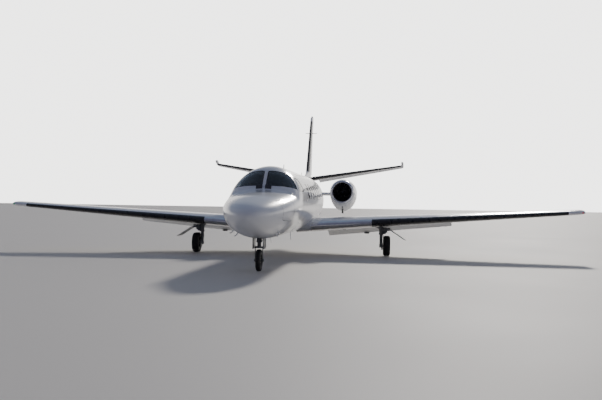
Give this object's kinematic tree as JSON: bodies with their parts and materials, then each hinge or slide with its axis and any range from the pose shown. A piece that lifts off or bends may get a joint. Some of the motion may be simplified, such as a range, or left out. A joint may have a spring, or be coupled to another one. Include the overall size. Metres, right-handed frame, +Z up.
{
  "type": "business jet",
  "caption": "Light straight-wing business jet with rear-mounted fan engines, hollow cabin, opening doors, flaps, control surfaces and wheels, parked on its gear.",
  "frame": {"origin": "on the ground, below the middle of the aircraft's length and span, at the foot of its bounding box", "axes": "+X to the aircraft's left along the span, +Y aft, +Z up; the nose points to -Y"},
  "size_m": [15.91, 14.9, 4.57],
  "materials": {
    "white_paint": "gloss white paint on aluminium skin",
    "composite_paint": "gloss white paint on composite",
    "windshield_glass": "curved clear acrylic",
    "cabin_glass": "clear acrylic",
    "floor_panel": "carpet on floor panels",
    "panel_plastic": "matte dark trim",
    "seat_leather": "soft beige leather",
    "engine_metal": "cast alloy",
    "gear_metal": "satin steel",
    "tyre_rubber": "black rubber"
  },
  "bodies": {
    "airframe": {"radome": "composite_paint", "nose_section": "white_paint", "cabin_shell": "white_paint", "emergency_exit": "white_paint", "tailcone": "white_paint", "windshield_left": "windshield_glass", "windshield_right": "windshield_glass", "side_window_left": "windshield_glass", "side_window_right": "windshield_glass", "cabin_glazing_left": "cabin_glass", "cabin_glazing_right": "cabin_glass", "cabin_floor": "floor_panel", "instrument_panel": "panel_plastic", "seats_left": "seat_leather", "seats_right": "seat_leather", "wing_left": "white_paint", "wing_right": "white_paint", "tailplane": "white_paint", "fin": "white_paint", "nacelle_left": "composite_paint", "nacelle_right": "composite_paint", "engine_core_left": "engine_metal", "engine_core_right": "engine_metal", "nose_leg": "gear_metal", "nose_gear_door_left": "white_paint", "nose_gear_door_right": "white_paint", "main_leg_left": "gear_metal", "main_leg_right": "gear_metal", "main_gear_door_left": "white_paint", "main_gear_door_right": "white_paint"},
    "cabin_door": {"cabin_door": "white_paint"},
    "nose_bay_door_left": {"nose_bay_door_left": "white_paint"},
    "nose_bay_door_right": {"nose_bay_door_right": "white_paint"},
    "rear_bay_door": {"rear_bay_door": "white_paint"},
    "flap_left": {"flap_left": "white_paint"},
    "flap_right": {"flap_right": "white_paint"},
    "aileron_left": {"aileron_left": "white_paint"},
    "aileron_right": {"aileron_right": "white_paint"},
    "elevator_left": {"elevator_left": "white_paint"},
    "elevator_right": {"elevator_right": "white_paint"},
    "rudder": {"rudder": "white_paint"},
    "fan_left": {"fan_left": "gear_metal"},
    "fan_right": {"fan_right": "gear_metal"},
    "nose_fork": {"nose_fork": "gear_metal"},
    "nose_wheel": {"nose_wheel": "tyre_rubber"},
    "main_wheel_left": {"main_wheel_left": "tyre_rubber"},
    "main_wheel_right": {"main_wheel_right": "tyre_rubber"}
  },
  "joints": [
    {"name": "cabin_door_hinge", "type": "hinge", "parent": "airframe", "child": "cabin_door", "pos_m": [0.835, -4.15, 1.475], "axis": [0, 0, -1], "range_deg": [0, 100]},
    {"name": "nose_bay_hinge_left", "type": "hinge", "parent": "airframe", "child": "nose_bay_door_left", "pos_m": [0.43898, -6.49143, 1.47], "axis": [-0.3363, -0.9418, 0], "range_deg": [0, 85]},
    {"name": "nose_bay_hinge_right", "type": "hinge", "parent": "airframe", "child": "nose_bay_door_right", "pos_m": [-0.43898, -6.49143, 1.47], "axis": [-0.3363, 0.9418, 0], "range_deg": [0, 85]},
    {"name": "rear_bay_hinge", "type": "hinge", "parent": "airframe", "child": "rear_bay_door", "pos_m": [0.78839, 2.15124, 1.4], "axis": [0.0886, -0.9961, 0], "range_deg": [0, 85]},
    {"name": "flap_hinge_left", "type": "hinge", "parent": "airframe", "child": "flap_left", "pos_m": [0.94, 1.39257, 0.8206], "axis": [0.993, -0.0955, 0.0699], "range_deg": [0, 35]},
    {"name": "flap_hinge_right", "type": "hinge", "parent": "airframe", "child": "flap_right", "pos_m": [-0.94, 1.39257, 0.8206], "axis": [0.993, 0.0955, -0.0699], "range_deg": [0, 35]},
    {"name": "aileron_hinge_left", "type": "hinge", "parent": "airframe", "child": "aileron_left", "pos_m": [4.56, 0.96987, 1.07918], "axis": [0.994, -0.0869, 0.0665], "range_deg": [-15, 19]},
    {"name": "aileron_hinge_right", "type": "hinge", "parent": "airframe", "child": "aileron_right", "pos_m": [-4.56, 0.96987, 1.07918], "axis": [0.994, 0.0869, -0.0665], "range_deg": [-19, 15]},
    {"name": "elevator_hinge_left", "type": "hinge", "parent": "airframe", "child": "elevator_left", "pos_m": [0.33088, 6.05, 2.29241], "axis": [0.9877, 0, 0.1564], "range_deg": [0, 35]},
    {"name": "elevator_hinge_right", "type": "hinge", "parent": "airframe", "child": "elevator_right", "pos_m": [-0.33088, 6.05, 2.29241], "axis": [0.9877, 0, -0.1564], "range_deg": [0, 35]},
    {"name": "rudder_hinge", "type": "hinge", "parent": "airframe", "child": "rudder", "pos_m": [0, 6.43, 2.43], "axis": [0, 0.3284, 0.9445], "range_deg": [-22, 22]},
    {"name": "fan_spin_left", "type": "hinge", "parent": "airframe", "child": "fan_left", "pos_m": [1.38, 1.8, 1.77], "axis": [0, 1, 0], "continuous": true},
    {"name": "fan_spin_right", "type": "hinge", "parent": "airframe", "child": "fan_right", "pos_m": [-1.38, 1.8, 1.77], "axis": [0, 1, 0], "continuous": true},
    {"name": "nose_steering", "type": "hinge", "parent": "airframe", "child": "nose_fork", "pos_m": [0, -5.7, 0.6], "axis": [0, 0, 1], "range_deg": [-20, 20]},
    {"name": "nose_wheel_spin", "type": "hinge", "parent": "nose_fork", "child": "nose_wheel", "pos_m": [0, -5.7, 0.2285], "axis": [1, 0, 0], "continuous": true},
    {"name": "main_wheel_spin_left", "type": "hinge", "parent": "airframe", "child": "main_wheel_left", "pos_m": [2.68, 0.36, 0.2795], "axis": [1, 0, 0], "continuous": true},
    {"name": "main_wheel_spin_right", "type": "hinge", "parent": "airframe", "child": "main_wheel_right", "pos_m": [-2.68, 0.36, 0.2795], "axis": [1, 0, 0], "continuous": true}
  ],
  "couplings": [
    {"joint": "flap_hinge_right", "follows": "flap_hinge_left", "ratio": 1},
    {"joint": "aileron_hinge_right", "follows": "aileron_hinge_left", "ratio": -1},
    {"joint": "elevator_hinge_right", "follows": "elevator_hinge_left", "ratio": 1}
  ]
}
